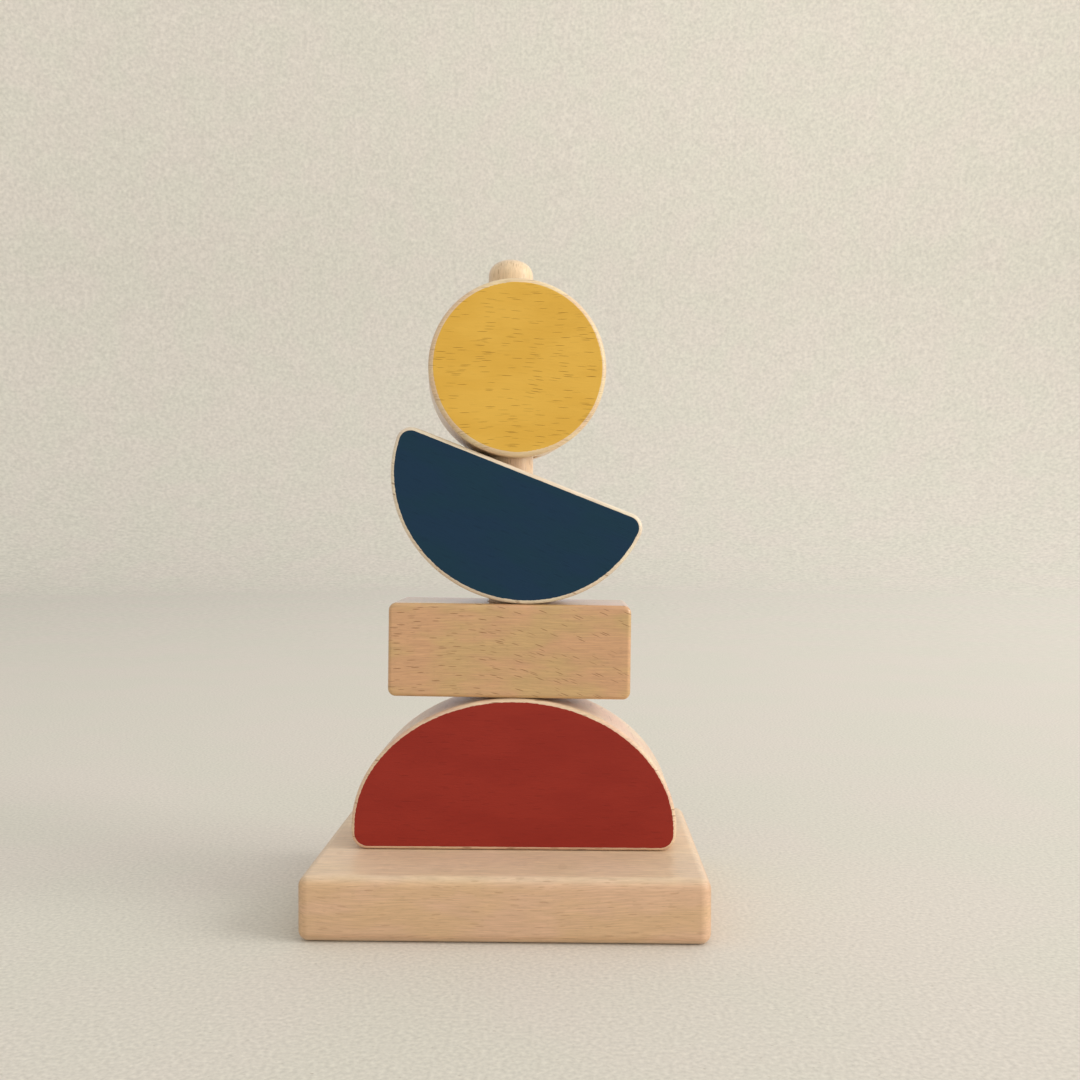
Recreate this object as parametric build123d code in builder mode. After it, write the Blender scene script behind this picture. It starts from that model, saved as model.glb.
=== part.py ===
from build123d import *
from math import asin, cos, degrees, radians, sin, sqrt, tan
import os

# Geometric stacking toy: four wooden pieces threaded on a post that is glued into a base.
# Millimetres. +Z is up and the painted fronts face -Y. The origin is on the post's axis,
# on the underside of the base.

# Base
base_length = 150
base_depth = 110
base_height = 24
base_round = 4  # every edge

# Post, a turned dowel
post_radius = 9
post_top = 258.6  # height of its tip
post_edge = 6.2  # radius around the domed end
post_edge_turn = 60  # degrees that this radius turns through before the flatter crown
post_lead = 1  # chamfer at the glued end
socket_depth = 18  # blind hole in the base

# What the stacked pieces share: one thickness of board and one size of bore
board = 38
bore_radius = post_radius + 1.3
mouth_round = 0.8  # edge at both ends of a bore
side_shift = 1  # the pieces stand this far to the right of the post's axis
rest_gap = 0.15  # between one piece and the next

# Red half-disc, flat side down
red_half_width = 63.8
red_rise = 51  # from its widest level to its crown
red_sill = 8.4  # from its flat side to its widest level
red_corner = 6.5
red_round = 1.6
red_offset = 0.8  # from its bore to its middle

# Plain block, rocked a little on the crown that it lies on
block_width = 95
block_height = 36.7
block_corner = 3
block_round = 1.6
block_tilt = radians(0.7)
block_offset = -0.8  # from its bore to its middle

# Blue half-disc, flat side up, bored at a slant so that it stands tilted
blue_half_width = 51.5
blue_rise = 48
blue_sill = 3.8
blue_corner = 6
blue_round = 1.7
blue_tilt = radians(21.7)
blue_offset = 3.8  # from its bore to its middle

# Yellow disc
disc_radius = 34.9
disc_round = 2.2
disc_turn = radians(6.6)  # about the post, its right side further back
disc_offset = 0.6  # from its bore to its middle

# The post's dome: a small radius around its edge runs into a flatter crown
edge_turn = radians(post_edge_turn)
crown_radius = (post_radius - post_edge * (1 - cos(edge_turn))) / cos(edge_turn)
post_shoulder = post_top - post_edge * sin(edge_turn) - crown_radius * (1 - sin(edge_turn))
post_foot = base_height - socket_depth


def reach(half_width, rise, turn):
    """Return how far an ellipse reaches from its middle, in a direction turned from its rise."""
    return sqrt((half_width * sin(turn)) ** 2 + (rise * cos(turn)) ** 2)


# Middles of the stacked pieces, worked out from the bottom up. The block's top and the blue
# flat side both slope down to the right.
red_middle = Vector(side_shift + red_offset, 0, base_height + rest_gap + red_sill)
block_along = Vector(cos(block_tilt), 0, -sin(block_tilt))
under_block = reach(red_half_width, red_rise, block_tilt) + rest_gap + block_height / 2
block_step = block_offset - red_offset
block_climb = under_block / cos(block_tilt) - block_step * tan(block_tilt)
block_middle = red_middle + Vector(block_step, 0, block_climb)
over_block = block_height / 2 + rest_gap + reach(blue_half_width, blue_rise, blue_tilt - block_tilt)
blue_step = blue_offset - block_offset
blue_climb = over_block / cos(block_tilt) - blue_step * tan(block_tilt)
blue_middle = block_middle + Vector(blue_step, 0, blue_climb)
slope_along = Vector(cos(blue_tilt), 0, -sin(blue_tilt))
slope_normal = Vector(sin(blue_tilt), 0, cos(blue_tilt))

# The disc is turned about the post, so on the slope it touches with the edge of its back
disc_lean = asin(sin(disc_turn) * sin(blue_tilt))
disc_rim = (disc_radius - disc_round) * cos(disc_lean) + disc_round
disc_reach = disc_rim + (board / 2 - disc_round) * sin(disc_lean)
above_flat = blue_middle + slope_normal * (blue_sill + rest_gap + disc_reach)
disc_middle_x = side_shift + disc_offset
disc_middle = above_flat + slope_along * ((disc_middle_x - above_flat.X) / slope_along.X)


def half_disc(plane, half_width, rise, sill, corner):
    """Return a half-disc's outline: an ellipse cut off flat below its middle, ends rounded."""
    below = degrees(asin(sill / rise))
    with BuildSketch(plane) as outline:
        with BuildLine():
            crown = EllipticalCenterArc((0, 0), half_width, rise, -below, arc_size=180 + 2 * below)
            Line(crown @ 1, crown @ 0)
        make_face()
        fillet(outline.vertices(), corner)
    return outline.sketch


def facing_front(middle, along):
    """Return an upright plane that faces the front, with its X running along the piece."""
    return Plane(origin=middle, x_dir=along, z_dir=along.cross(Vector(0, 0, 1)))


def bore_along_post():
    """Cut the bore that lets a piece slide along the post, and round its two mouths."""
    with Locations((side_shift, 0, 0)):
        Cylinder(bore_radius, 2 * post_top, mode=Mode.SUBTRACT)
    fillet(edges(Select.LAST).filter_by(GeomType.LINE, reverse=True), mouth_round)


# Base: a plain slab with a blind socket for the post
with BuildPart() as base:
    Box(base_length, base_depth, base_height, align=(Align.CENTER, Align.CENTER, Align.MIN))
    fillet(base.edges(), base_round)
    with Locations((0, 0, base_height)):
        Hole(post_radius, socket_depth)
base.part.label = "base"

# Post: turned about its axis, chamfered below and domed above
with BuildPart() as post:
    with BuildSketch(Plane.XZ):
        with BuildLine():
            Polyline((0, post_top), (0, post_foot), (post_radius - post_lead, post_foot),
                     (post_radius, post_foot + post_lead), (post_radius, post_shoulder))
            edge = JernArc((post_radius, post_shoulder), (0, 1), post_edge, post_edge_turn)
            JernArc(edge @ 1, edge % 1, crown_radius, 90 - post_edge_turn)
        make_face()
    revolve(axis=Axis.Z)
post.part.label = "post"

# Red half-disc
with BuildPart() as red_half_disc:
    red_front = facing_front(red_middle, Vector(1, 0, 0))
    extrude(half_disc(red_front, red_half_width, red_rise, red_sill, red_corner), board / 2, both=True)
    fillet(faces().filter_by(red_front).edges(), red_round)
    bore_along_post()
red_half_disc.part.label = "red_half_disc"

# Plain block
with BuildPart() as block:
    block_front = facing_front(block_middle, block_along)
    with BuildSketch(block_front):
        RectangleRounded(block_width, block_height, block_corner)
    extrude(amount=board / 2, both=True)
    fillet(faces().filter_by(block_front).edges(), block_round)
    bore_along_post()
block.part.label = "block"

# Blue half-disc: its crown points down, so its own plane is turned over as well as tilted
with BuildPart() as blue_half_disc:
    blue_front = Plane(origin=blue_middle, x_dir=-slope_along, z_dir=(0, -1, 0))
    extrude(half_disc(blue_front, blue_half_width, blue_rise, blue_sill, blue_corner), board / 2, both=True)
    fillet(faces().filter_by(blue_front).edges(), blue_round)
    bore_along_post()
blue_half_disc.part.label = "blue_half_disc"

# Yellow disc
with BuildPart() as yellow_disc:
    disc_front = facing_front(disc_middle, Vector(cos(disc_turn), sin(disc_turn), 0))
    with BuildSketch(disc_front):
        Circle(disc_radius)
    extrude(amount=board / 2, both=True)
    fillet(edges().filter_by(GeomType.CIRCLE), disc_round)
    bore_along_post()
yellow_disc.part.label = "yellow_disc"

os.makedirs("parts", exist_ok=True)
for piece in (base, post, red_half_disc, block, blue_half_disc, yellow_disc):
    export_step(piece.part, f"parts/{piece.part.label}.step")
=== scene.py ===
from math import cos, pi, radians, sin, tan

import bpy
from mathutils import Matrix, Vector


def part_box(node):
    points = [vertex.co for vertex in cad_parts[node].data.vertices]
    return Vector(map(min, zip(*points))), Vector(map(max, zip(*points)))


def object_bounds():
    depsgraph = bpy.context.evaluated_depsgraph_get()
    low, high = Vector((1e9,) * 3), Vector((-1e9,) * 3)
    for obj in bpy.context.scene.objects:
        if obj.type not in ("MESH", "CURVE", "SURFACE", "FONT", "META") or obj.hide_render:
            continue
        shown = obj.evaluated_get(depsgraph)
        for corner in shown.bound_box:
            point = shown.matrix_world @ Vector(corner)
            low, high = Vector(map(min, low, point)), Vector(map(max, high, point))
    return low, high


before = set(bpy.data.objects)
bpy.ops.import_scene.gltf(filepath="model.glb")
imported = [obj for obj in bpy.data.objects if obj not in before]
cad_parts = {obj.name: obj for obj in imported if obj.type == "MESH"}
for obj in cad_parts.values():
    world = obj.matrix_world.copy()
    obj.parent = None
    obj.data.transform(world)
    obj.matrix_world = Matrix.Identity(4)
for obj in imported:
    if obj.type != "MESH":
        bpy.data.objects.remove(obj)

# Geometric stacking toy: six wooden pieces, three of them with painted faces.
# Objects are in metres, in the frame of the CAD. Patterns in the wood and in the paper are worked
# out in millimetres.
cad_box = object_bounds()
MM = 0.001


def linear(red, green, blue):
    """A colour given as 0 to 255, as the linear one that Blender's sockets hold."""
    def channel(value):
        value /= 255
        return value / 12.92 if value <= 0.04045 else ((value + 0.055) / 1.055) ** 2.4
    return (channel(red), channel(green), channel(blue), 1.0)


# Camera: in front, a little to the right of the post and just above the tower's middle
CAMERA_PLACE = Vector((24.0, -466.6, 150.9)) * MM
CAMERA_TURN = radians(1.50)  # to the left
CAMERA_DIP = radians(0.69)
CAMERA_LENS = 38.33
CAMERA_SENSOR = 36

# Stage: a flat floor of paper that sweeps up into a wall all round
FLOOR_RADII = (0.001, 0.5, 2.2)  # of its rings of points
SWEEP_RADIUS = 0.9
WALL_HEIGHT = 2.6
STAGE_SIDES = 128
SWEEP_STEPS = 24

# Paper, in millimetres
PAPER_COLOUR = linear(216, 209, 195)
SIDE_SPAN = 1500  # either way from the tower, over which painted light pales the paper to the right and darkens it to the left
SIDE_PAINTED_LIGHT = (0.88, 1.10)  # painted light: what this multiplies its colour by, from one end to the other
UP_SPAN = 1800  # from the floor, over which painted light pales it upwards
UP_PAINTED_LIGHT = (0.95, 1.04)
MOTTLE_SIZE = (110, 110, 110)
MOTTLE_RANGE = (0.35, 0.65)  # of the noise, from cool to warm
COOL_PATCH = (0.985, 1.0, 0.985, 1.0)  # what it multiplies the colour by
WARM_PATCH = (1.01, 0.995, 1.0, 1.0)
NEAR_GRAIN = (1.6, 1.6, 1.6)
FAR_GRAIN = (9.0, 9.0, 9.0)
FAR_RANGE = (500, 2000)  # distances between which the coarser grain takes over
GRAIN_GAIN = 0.5
SPECK_SIZE = (2.4, 0.8, 0.8)
SPECK_RANGE = (0.72, 0.80)  # of the noise, from no speck to a full one
SPECK_STRENGTH = 0.55
SPECK_COLOUR = linear(150, 134, 116)
PAPER_RELIEF = 0.05
PAPER_ROUGHNESS = 0.9
PAPER_GLOSS = 0.2

# Light: a broad window to the right and a little in front, and pale surroundings
WINDOW_PLACE = Vector((4.0, -1.0, 1.7))
WINDOW_SIZE = (2.5, 2.75)
WINDOW_WATTS = 125
WINDOW_COLOUR = (1.0, 1.0, 1.0)
SKY_BRIGHT = (1.00, 1.00, 1.00, 1.0)  # on the window's side
SKY_DIM = (0.62, 0.62, 0.62, 1.0)  # on the far side
SKY_STRENGTH = 1.0

# How the pieces are cut, in millimetres and radians
BOARD = 38  # thickness of every stacked piece
BORE_AXIS = Vector((1, 0, 0))  # a point on the upright axis that the bores share
BORE_RADIUS = 10.3
BORE_MOUTH = 11.1  # radius at which its rounded mouth ends
BLOCK_TILT = radians(0.7)
BLUE_TILT = radians(21.7)
DISC_TURN = radians(6.6)

# Beech. Sizes of a pattern run along the grain, through the board and across the grain.
FIBRE_SIZE = (10, 1.0, 0.5)
FIBRE_GAIN = 0.55
SWAY_SIZE = (70, 50, 28)  # of the waves that the fibres run in
PORE_SIZE = (2.6, 0.22, 0.22)
PORE_RANGE = (0.66, 0.74)  # of the noise, from where a pore starts to where it is deepest
PORE_SHADE = 0.10  # how much darker a pore is
BLOTCH_SIZE = (26, 24, 10)
BLOTCH_RANGE = (0.36, 0.64)  # of the noise, from straw to rosy
RING_SIZE = (180, 2.4, 1)  # along the grain and from the pith outwards
RING_GAIN = 0.20
FLECK_COLOUR = linear(132, 90, 54)
FLECK_REACH = 0.25  # of a cell, from its middle to where the lens ends
FLECK_CORE = 0.17  # to where it has its full strength
FLECK_FULL = 0.7  # of a cell's own number, from where on its fleck has its full strength
FLECK_EDGE_ON = 0.35  # what is left of the flecks on faces that run across the flat ones
FLAT_ENOUGH = 0.8  # how squarely a face looks through the board where they have full strength
BLOCK_SLANT = radians(22)  # of the flecks towards the right end of the block
SLANT_ONSET = 40  # millimetres over which the slant sets in
END_RANGE = (0.45, 1.0)  # how squarely a surface looks along the grain, from side to end grain
END_SHADE = 0.93  # of the colour, on end grain
PAINTED_SHEEN_COLOUR = linear(225, 208, 178)  # painted sheen: the pale colour that level faces are mixed towards, as if lit from above
PAINTED_SHEEN_ONSET = 0.3  # how level a surface has to be before the painted sheen pales it
BORE_SHADE = 0.80  # of the colour, on the wall of a bore
TOOL_MARK_SIZE = (9, 9, 0.45)  # along X, Y and Z
TOOL_MARK_DEPTH = 0.08
RELIEF = 0.02  # millimetres of fibres, pores and flecks
BARE_ROUGHNESS = 0.34
BARE_ROUGHNESS_GAIN = 0.16

# Paint, in millimetres
PAINT_EDGE = 0.03  # how far below the flat face it wraps into the rounded edge
PAINT_WANDER = 0.05  # how far that edge wanders
PAINT_WANDER_SIZE = (3.0, 3.0, 3.0)
PAINT_BLUR = 0.008  # half the width of the edge
PAINT_BLOTCH_RANGE = (0.35, 0.65)  # of the noise, from the first colour to the second
PAINT_ROUGHNESS = 0.50
PAINT_ROUGHNESS_GAIN = 0.10

# Sheen: specular levels, and how rough the film of oil is
PAINTED_GLOSS = 0.12
BARE_GLOSS = 0.12
FILM_ROUGHNESS = 0.2


class Shading:
    """The nodes of a new material or world, with short ways to add them. A socket or a plain
    value feeds each input."""

    def __init__(self, owner):
        owner.use_nodes = True
        self.owner = owner
        self.tree = owner.node_tree
        self.tree.nodes.clear()

    def node(self, kind, settings=None, inputs=None):
        node = self.tree.nodes.new(kind)
        for key, value in (settings or {}).items():
            setattr(node, key, value)
        for key, value in (inputs or {}).items():
            if isinstance(value, bpy.types.NodeSocket):
                self.tree.links.new(value, node.inputs[key])
            else:
                node.inputs[key].default_value = value
        return node

    def add(self, kind, settings=None, inputs=None, out=0):
        return self.node(kind, settings, inputs).outputs[out]

    def math(self, operation, *values):
        return self.add("ShaderNodeMath", {"operation": operation}, dict(enumerate(values)))

    def vector(self, operation, *values, out="Vector"):
        return self.add("ShaderNodeVectorMath", {"operation": operation}, dict(enumerate(values)), out)

    def dot(self, first, second):
        return self.vector("DOT_PRODUCT", first, second, out="Value")

    def scaled(self, vector, factor):
        """A vector or a colour times one number."""
        return self.add("ShaderNodeVectorMath", {"operation": "SCALE"}, {"Vector": vector, "Scale": factor})

    def coordinates(self, name):
        return self.add("ShaderNodeTexCoord", out=name)

    def millimetres(self):
        """Millimetres in the object's own frame."""
        return self.scaled(self.coordinates("Object"), 1 / MM)

    def facing(self, direction):
        """1 where the surface faces along the direction, either way, and 0 where it is edge on."""
        return self.math("ABSOLUTE", self.dot(self.coordinates("Normal"), direction))

    def noise(self, vector, sizes, detail=2.0, out=0):
        """Noise around 0.5 whose features have about these sizes along x, y and z."""
        inputs = {"Vector": self.vector("DIVIDE", vector, sizes), "Scale": 1.0, "Detail": detail}
        return self.add("ShaderNodeTexNoise", {}, inputs, out)

    def ramp(self, value, low, high, bottom=0.0, top=1.0):
        """Smoothly from bottom at low to top at high; low may be the larger of the two."""
        inputs = {"Value": value, "From Min": low, "From Max": high, "To Min": bottom, "To Max": top}
        return self.add("ShaderNodeMapRange", {"interpolation_type": "SMOOTHSTEP"}, inputs)

    def around_one(self, noise, gain):
        """Noise around 0.5 as a factor around 1."""
        return self.math("MULTIPLY_ADD", noise, gain, 1 - gain / 2)

    def mix(self, factor, first, second):
        node = self.node("ShaderNodeMix", {"data_type": "RGBA"})
        sockets = {socket.identifier: socket for socket in node.inputs}
        for key, value in (("Factor_Float", factor), ("A_Color", first), ("B_Color", second)):
            if isinstance(value, bpy.types.NodeSocket):
                self.tree.links.new(value, sockets[key])
            else:
                sockets[key].default_value = value
        return next(socket for socket in node.outputs if socket.identifier == "Result_Color")

    def close(self, colour, roughness, height, gloss, film=0.0):
        """End the material in a matt surface, its height in millimetres, with a film of oil on it."""
        inputs = {"Base Color": colour, "Roughness": roughness, "Specular IOR Level": gloss,
                  "Coat Weight": film, "Coat Roughness": FILM_ROUGHNESS}
        inputs["Normal"] = self.add("ShaderNodeBump", {}, {"Height": height, "Distance": MM})
        surface = self.add("ShaderNodeBsdfPrincipled", {}, inputs)
        self.node("ShaderNodeOutputMaterial", {}, {"Surface": surface})
        return self.owner


class Timber:
    """How a piece is cut: where its grain runs, how it wavers, and its colours."""

    def __init__(self, node, straw, rosy, start, along=(1, 0, 0), depth=(0, 1, 0), pith=(-60, 12),
                 sway=3.0, slant=0.0, fleck_size=(9, 30, 1.3), fleck_strength=0.5, film=0.35,
                 painted_sheen=0.0, bored=True):
        self.node = node
        self.straw = straw
        self.rosy = rosy
        self.start = start  # sets this piece's pattern apart from the others'
        self.along = Vector(along).normalized()
        self.depth = Vector(depth).normalized()
        self.across = self.along.cross(self.depth)
        self.pith = pith  # the middle of the tree, through the board and across the grain
        self.sway = sway
        self.slant = slant
        self.fleck_size = fleck_size
        self.fleck_strength = fleck_strength
        self.film = film  # of oil, which shines at a glancing angle
        self.painted_sheen = painted_sheen  # how much painted sheen pales its level faces, top and underside alike
        self.bored = bored  # the walls of its bore show the tool's marks

    def place(self, s):
        """Millimetres from the piece's middle: x along the grain, y through the board, z across."""
        low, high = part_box(self.node)
        turn = Matrix((self.along, self.depth, self.across))
        return s.add("ShaderNodeMapping", {"vector_type": "POINT"}, {
            "Vector": s.coordinates("Object"),
            "Scale": (1 / MM,) * 3,
            "Rotation": turn.to_euler(),
            "Location": turn @ Vector((low + high) / 2) / -MM,
        })


def wavering(s, place, timber):
    """The place with its fibres straightened: across the grain, they wander."""
    wander = s.math("SUBTRACT", s.noise(place, SWAY_SIZE, detail=1.0), 0.5)
    lift = s.math("MULTIPLY", wander, 2 * timber.sway)
    return s.vector("ADD", place, s.add("ShaderNodeCombineXYZ", {}, {"Z": lift}))


def slanting(s, fibres, timber):
    """The flecks' place: on a board cut askew they slant more and more towards its far end."""
    past = s.math("SMOOTH_MAX", s.dot(timber.place(s), (1, 0, 0)), 0.0, SLANT_ONSET)
    lift = s.math("MULTIPLY", past, tan(timber.slant))
    return s.vector("ADD", fibres, s.add("ShaderNodeCombineXYZ", {}, {"Z": lift}))


def flecks(s, place, timber):
    """The short dark lenses of the rays, each with its own strength."""
    kind = {"feature": "F1", "distance": "EUCLIDEAN", "voronoi_dimensions": "3D"}
    cells = s.vector("DIVIDE", place, timber.fleck_size)
    node = s.node("ShaderNodeTexVoronoi", kind, {"Vector": cells, "Scale": 1.0})
    lens = s.ramp(node.outputs["Distance"], FLECK_REACH, FLECK_CORE)
    own = s.ramp(s.add("ShaderNodeSeparateColor", {}, {"Color": node.outputs["Color"]}), 0.0, FLECK_FULL)
    return s.math("MULTIPLY", lens, own)


def bore_wall(s):
    """1 on the wall of the bore, 0 outside its mouths."""
    from_axis = s.vector("SUBTRACT", s.millimetres(), BORE_AXIS)
    radius = s.vector("LENGTH", s.vector("MULTIPLY", from_axis, (1, 1, 0)), out="Value")
    return s.ramp(radius, BORE_MOUTH, BORE_RADIUS)


def wood(s, timber):
    """Oiled beech: its colour, roughness, height, and the fleck and fibre patterns that paint shows."""
    place = s.vector("ADD", timber.place(s), timber.start)
    fibres = wavering(s, place, timber)
    fine = s.noise(fibres, FIBRE_SIZE, detail=3.0)
    pores = s.ramp(s.noise(fibres, PORE_SIZE, detail=0.0), *PORE_RANGE)
    blotch = s.noise(place, BLOTCH_SIZE, detail=3.0)
    to_pith = s.vector("ADD", fibres, (0, *timber.pith))
    ring_radius = s.vector("LENGTH", s.vector("MULTIPLY", to_pith, (0, 1, 1)), out="Value")
    ring_place = s.add("ShaderNodeCombineXYZ", {}, {"X": s.dot(fibres, (1, 0, 0)), "Y": ring_radius})
    rings = s.noise(ring_place, RING_SIZE, detail=2.0)

    end = s.ramp(s.facing(timber.along), *END_RANGE)
    flat = s.facing(timber.depth)
    lens = flecks(s, slanting(s, fibres, timber) if timber.slant else fibres, timber)
    seen = s.math("MULTIPLY", lens, s.ramp(flat, 0.0, FLAT_ENOUGH, FLECK_EDGE_ON, 1.0))

    shade = s.math("MULTIPLY", s.around_one(fine, FIBRE_GAIN), s.around_one(rings, RING_GAIN))
    shade = s.math("MULTIPLY", shade, s.ramp(end, 0.0, 1.0, 1.0, END_SHADE))
    shade = s.math("MULTIPLY", shade, s.math("MULTIPLY_ADD", pores, -PORE_SHADE, 1.0))
    height = s.math("MULTIPLY_ADD", fine, RELIEF, s.math("MULTIPLY", pores, -RELIEF))
    height = s.math("MULTIPLY_ADD", seen, -RELIEF, height)
    roughness = s.math("MULTIPLY_ADD", fine, BARE_ROUGHNESS_GAIN, BARE_ROUGHNESS)
    if timber.bored:
        wall = bore_wall(s)
        tool_marks = s.noise(s.millimetres(), TOOL_MARK_SIZE, detail=1.0)
        shade = s.math("MULTIPLY", shade, s.math("MULTIPLY_ADD", wall, BORE_SHADE - 1, 1.0))
        height = s.math("MULTIPLY_ADD", s.math("MULTIPLY", wall, tool_marks), TOOL_MARK_DEPTH, height)

    colour = s.mix(s.ramp(blotch, *BLOTCH_RANGE), timber.straw, timber.rosy)
    if timber.painted_sheen:
        # painted sheen: level faces, top and underside, mixed towards a pale colour as if lit from above
        painted_sheen_amount = s.ramp(s.facing((0, 0, 1)), PAINTED_SHEEN_ONSET, 1.0, 0.0, timber.painted_sheen)
        colour = s.mix(painted_sheen_amount, colour, PAINTED_SHEEN_COLOUR)
    colour = s.scaled(colour, shade)
    colour = s.mix(s.math("MULTIPLY", seen, timber.fleck_strength), colour, FLECK_COLOUR)
    return {"colour": colour, "roughness": roughness, "height": height,
            "place": place, "fine": fine, "blotch": blotch, "flecks": seen}


def put_on(timber, material):
    """Give the timber's piece this one material."""
    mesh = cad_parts[timber.node].data
    mesh.materials.clear()
    mesh.materials.append(material)


def bare(name, timber):
    """Oiled beech all over."""
    s = Shading(bpy.data.materials.new(name))
    beech = wood(s, timber)
    surface = (beech["colour"], beech["roughness"], beech["height"])
    put_on(timber, s.close(*surface, gloss=BARE_GLOSS, film=timber.film))


def painted(name, timber, first, second, fleck_colour, telegraph, streak):
    """Beech with both flat faces painted in two close colours, in soft blotches. The paint is thin:
    telegraph is how much the flecks show through it, and streak how much the fibres do."""
    s = Shading(bpy.data.materials.new(name))
    beech = wood(s, timber)
    depth = s.math("ABSOLUTE", s.dot(timber.place(s), (0, 1, 0)))
    wander = s.math("MULTIPLY", s.noise(beech["place"], PAINT_WANDER_SIZE), PAINT_WANDER)
    edge = s.math("SUBTRACT", BOARD / 2 - PAINT_EDGE + PAINT_WANDER / 2, wander)
    above = s.math("SUBTRACT", depth, edge)
    cover = s.ramp(above, -PAINT_BLUR, PAINT_BLUR)

    paint = s.mix(s.ramp(beech["blotch"], *PAINT_BLOTCH_RANGE), first, second)
    paint = s.scaled(paint, s.around_one(beech["fine"], streak))
    paint = s.mix(s.math("MULTIPLY", beech["flecks"], telegraph), paint, fleck_colour)
    roughness = s.math("MULTIPLY_ADD", beech["fine"], PAINT_ROUGHNESS_GAIN, PAINT_ROUGHNESS)
    dull = s.math("SUBTRACT", roughness, beech["roughness"])
    put_on(timber, s.close(
        s.mix(cover, beech["colour"], paint),
        s.math("MULTIPLY_ADD", cover, dull, beech["roughness"]),
        beech["height"],
        gloss=PAINTED_GLOSS,
        film=s.ramp(cover, 0.0, 1.0, timber.film, 0.0),
    ))


def paper():
    """Pale paper with a fine grain, coarser further out, a few small darker specks, and painted light:
    darker to the left and low down, paler to the right and higher up.
    """
    s = Shading(bpy.data.materials.new("paper"))
    place = s.millimetres()
    far = s.ramp(s.vector("LENGTH", place, out="Value"), *FAR_RANGE)
    # painted light: the paper darkened to the left and low down, paled to the right and upwards, as the
    # window's light falls
    side_painted_light = s.ramp(s.dot(place, (1, 0, 0)), -SIDE_SPAN, SIDE_SPAN, *SIDE_PAINTED_LIGHT)
    up_painted_light = s.ramp(s.dot(place, (0, 0, 1)), 0, UP_SPAN, *UP_PAINTED_LIGHT)
    painted_light = s.math("MULTIPLY", side_painted_light, up_painted_light)
    mottle = s.ramp(s.noise(place, MOTTLE_SIZE, detail=3.0), *MOTTLE_RANGE)
    near_grain = s.noise(place, NEAR_GRAIN, detail=3.0)
    far_grain = s.noise(place, FAR_GRAIN, detail=3.0)
    grain = s.math("ADD", s.math("MULTIPLY", near_grain, s.math("SUBTRACT", 1.0, far)),
                   s.math("MULTIPLY", far_grain, far))
    colour = s.scaled(PAPER_COLOUR[:3], painted_light)
    colour = s.scaled(colour, s.around_one(grain, GRAIN_GAIN))
    colour = s.vector("MULTIPLY", colour, s.mix(mottle, COOL_PATCH, WARM_PATCH))
    specks = s.ramp(s.noise(place, SPECK_SIZE, detail=1.0), *SPECK_RANGE)
    colour = s.mix(s.math("MULTIPLY", specks, SPECK_STRENGTH), colour, SPECK_COLOUR)
    height = s.math("MULTIPLY", near_grain, PAPER_RELIEF)
    return s.close(colour, PAPER_ROUGHNESS, height, gloss=PAPER_GLOSS)


def add_stage(name, profile, material):
    """A surface of revolution about the tower, from a list of radii and heights."""
    points = []
    for radius, height in profile:
        for side in range(STAGE_SIDES):
            angle = 2 * pi * side / STAGE_SIDES
            points.append((radius * cos(angle), radius * sin(angle), height))
    faces = []
    for inner in range(0, len(points) - STAGE_SIDES, STAGE_SIDES):
        for side in range(STAGE_SIDES):
            after = (side + 1) % STAGE_SIDES
            faces.append((inner + side, inner + STAGE_SIDES + side,
                          inner + STAGE_SIDES + after, inner + after))
    mesh = bpy.data.meshes.new(name)
    mesh.from_pydata(points, [], faces)
    mesh.shade_smooth()
    mesh.materials.append(material)
    surface = bpy.data.objects.new(name, mesh)
    bpy.context.scene.collection.objects.link(surface)
    return surface


def make_stage():
    """A flat floor, and a wall that sweeps up from it and lets the surrounding light through."""
    sheet = paper()
    add_stage("floor", [(radius, 0) for radius in FLOOR_RADII], sheet)
    foot = FLOOR_RADII[-1]
    sweep = []
    for step in range(SWEEP_STEPS + 1):
        angle = pi / 2 * step / SWEEP_STEPS
        sweep.append((foot + SWEEP_RADIUS * sin(angle), SWEEP_RADIUS * (1 - cos(angle))))
    wall = add_stage("wall", sweep + [(foot + SWEEP_RADIUS, WALL_HEIGHT)], sheet)
    wall.visible_diffuse = False
    wall.visible_glossy = False
    wall.visible_shadow = False


def make_camera():
    data = bpy.data.cameras.new("camera")
    data.lens = CAMERA_LENS
    data.sensor_width = CAMERA_SENSOR
    camera = bpy.data.objects.new("camera", data)
    camera.location = CAMERA_PLACE
    camera.rotation_euler = (pi / 2 - CAMERA_DIP, 0, CAMERA_TURN)
    bpy.context.scene.collection.objects.link(camera)
    bpy.context.scene.camera = camera


def make_window():
    data = bpy.data.lights.new("window", "AREA")
    data.shape = "RECTANGLE"
    data.size, data.size_y = WINDOW_SIZE
    data.energy = WINDOW_WATTS
    data.color = WINDOW_COLOUR
    light = bpy.data.objects.new("window", data)
    light.location = WINDOW_PLACE
    low, high = cad_box
    light.rotation_euler = (WINDOW_PLACE - (low + high) / 2).to_track_quat("Z", "Y").to_euler()
    light.visible_camera = False
    bpy.context.scene.collection.objects.link(light)


def make_sky():
    """Pale surroundings, brighter on the window's side."""
    world = bpy.data.worlds.new("surroundings")
    bpy.context.scene.world = world
    s = Shading(world)
    side = s.dot(s.coordinates("Generated"), WINDOW_PLACE.normalized())
    colour = s.mix(s.ramp(side, -1.0, 1.0), SKY_DIM, SKY_BRIGHT)
    glow = s.add("ShaderNodeBackground", {}, {"Color": colour, "Strength": SKY_STRENGTH})
    s.node("ShaderNodeOutputWorld", {}, {"Surface": glow})


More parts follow.
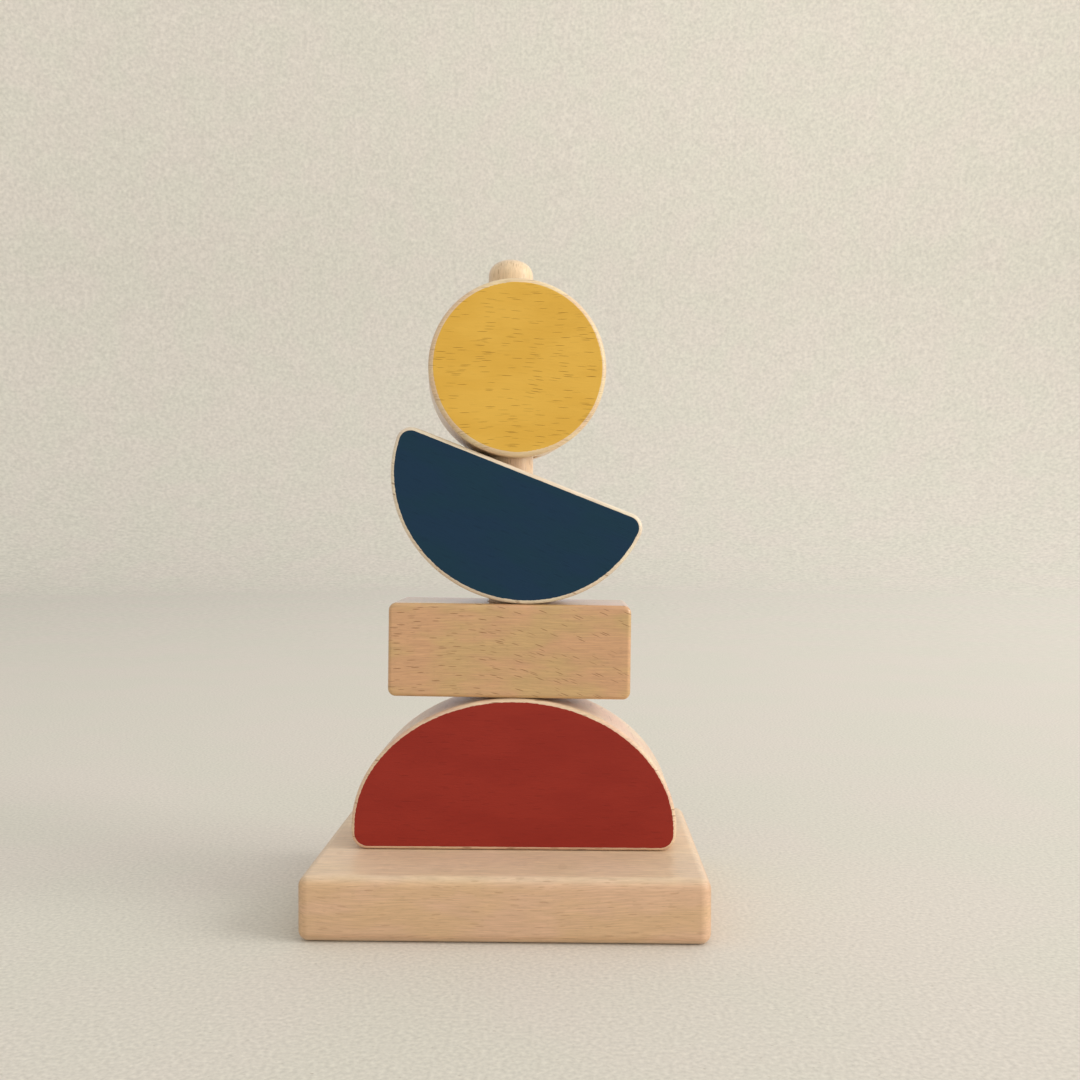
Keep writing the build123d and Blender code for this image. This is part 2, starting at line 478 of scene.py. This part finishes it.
def turned(angle):
    """Level, and turned about the post from the tower's left-to-right."""
    return (cos(angle), sin(angle), 0)


def tilted(angle):
    """Left to right, sloping down."""
    return (cos(angle), 0, -sin(angle))


bare("beech_board", Timber(
    "base", straw=linear(208, 172, 133), rosy=linear(211, 173, 140), start=(40, 310, 15),
    sway=5.0, fleck_size=(8, 30, 1.1), fleck_strength=0.22, film=0.1, painted_sheen=0.45, bored=False))
bare("beech_dowel", Timber(
    "post", straw=linear(226, 198, 160), rosy=linear(222, 190, 156), start=(90, 20, 75),
    along=(0, 0, 1), sway=1.5, fleck_size=(5, 12, 0.8), fleck_strength=0.4, film=0.3, bored=False))
bare("beech_block", Timber(
    "block", straw=linear(198, 161, 110), rosy=linear(204, 157, 115), start=(210, 140, 33),
    along=tilted(BLOCK_TILT), slant=BLOCK_SLANT, fleck_size=(8, 26, 0.75), fleck_strength=0.75, film=0.8))
painted("red_painted_beech", Timber(
    "red_half_disc", straw=linear(223, 194, 160), rosy=linear(219, 181, 152), start=(330, 60, 80),
    fleck_strength=0.6),
    first=linear(150, 48, 36), second=linear(145, 45, 34), fleck_colour=linear(118, 36, 28),
    telegraph=0.25, streak=0.16)
painted("blue_painted_beech", Timber(
    "blue_half_disc", straw=linear(226, 210, 182), rosy=linear(222, 202, 176), start=(55, 205, 140),
    along=tilted(BLUE_TILT), sway=2.5, fleck_strength=0.6, film=0.5),
    first=linear(27, 53, 75), second=linear(26, 55, 72), fleck_colour=linear(18, 40, 58),
    telegraph=0.25, streak=0.20)
painted("yellow_painted_beech", Timber(
    "yellow_disc", straw=linear(225, 201, 158), rosy=linear(220, 189, 152), start=(120, 88, 250),
    along=turned(DISC_TURN), depth=turned(DISC_TURN + pi / 2), sway=5.0, fleck_size=(10, 22, 0.42),
    fleck_strength=0.6),
    first=linear(221, 174, 74), second=linear(216, 168, 68), fleck_colour=linear(112, 76, 26),
    telegraph=0.7, streak=0.10)

make_stage()
make_window()
make_sky()
make_camera()
bpy.context.scene.view_settings.view_transform = "Standard"
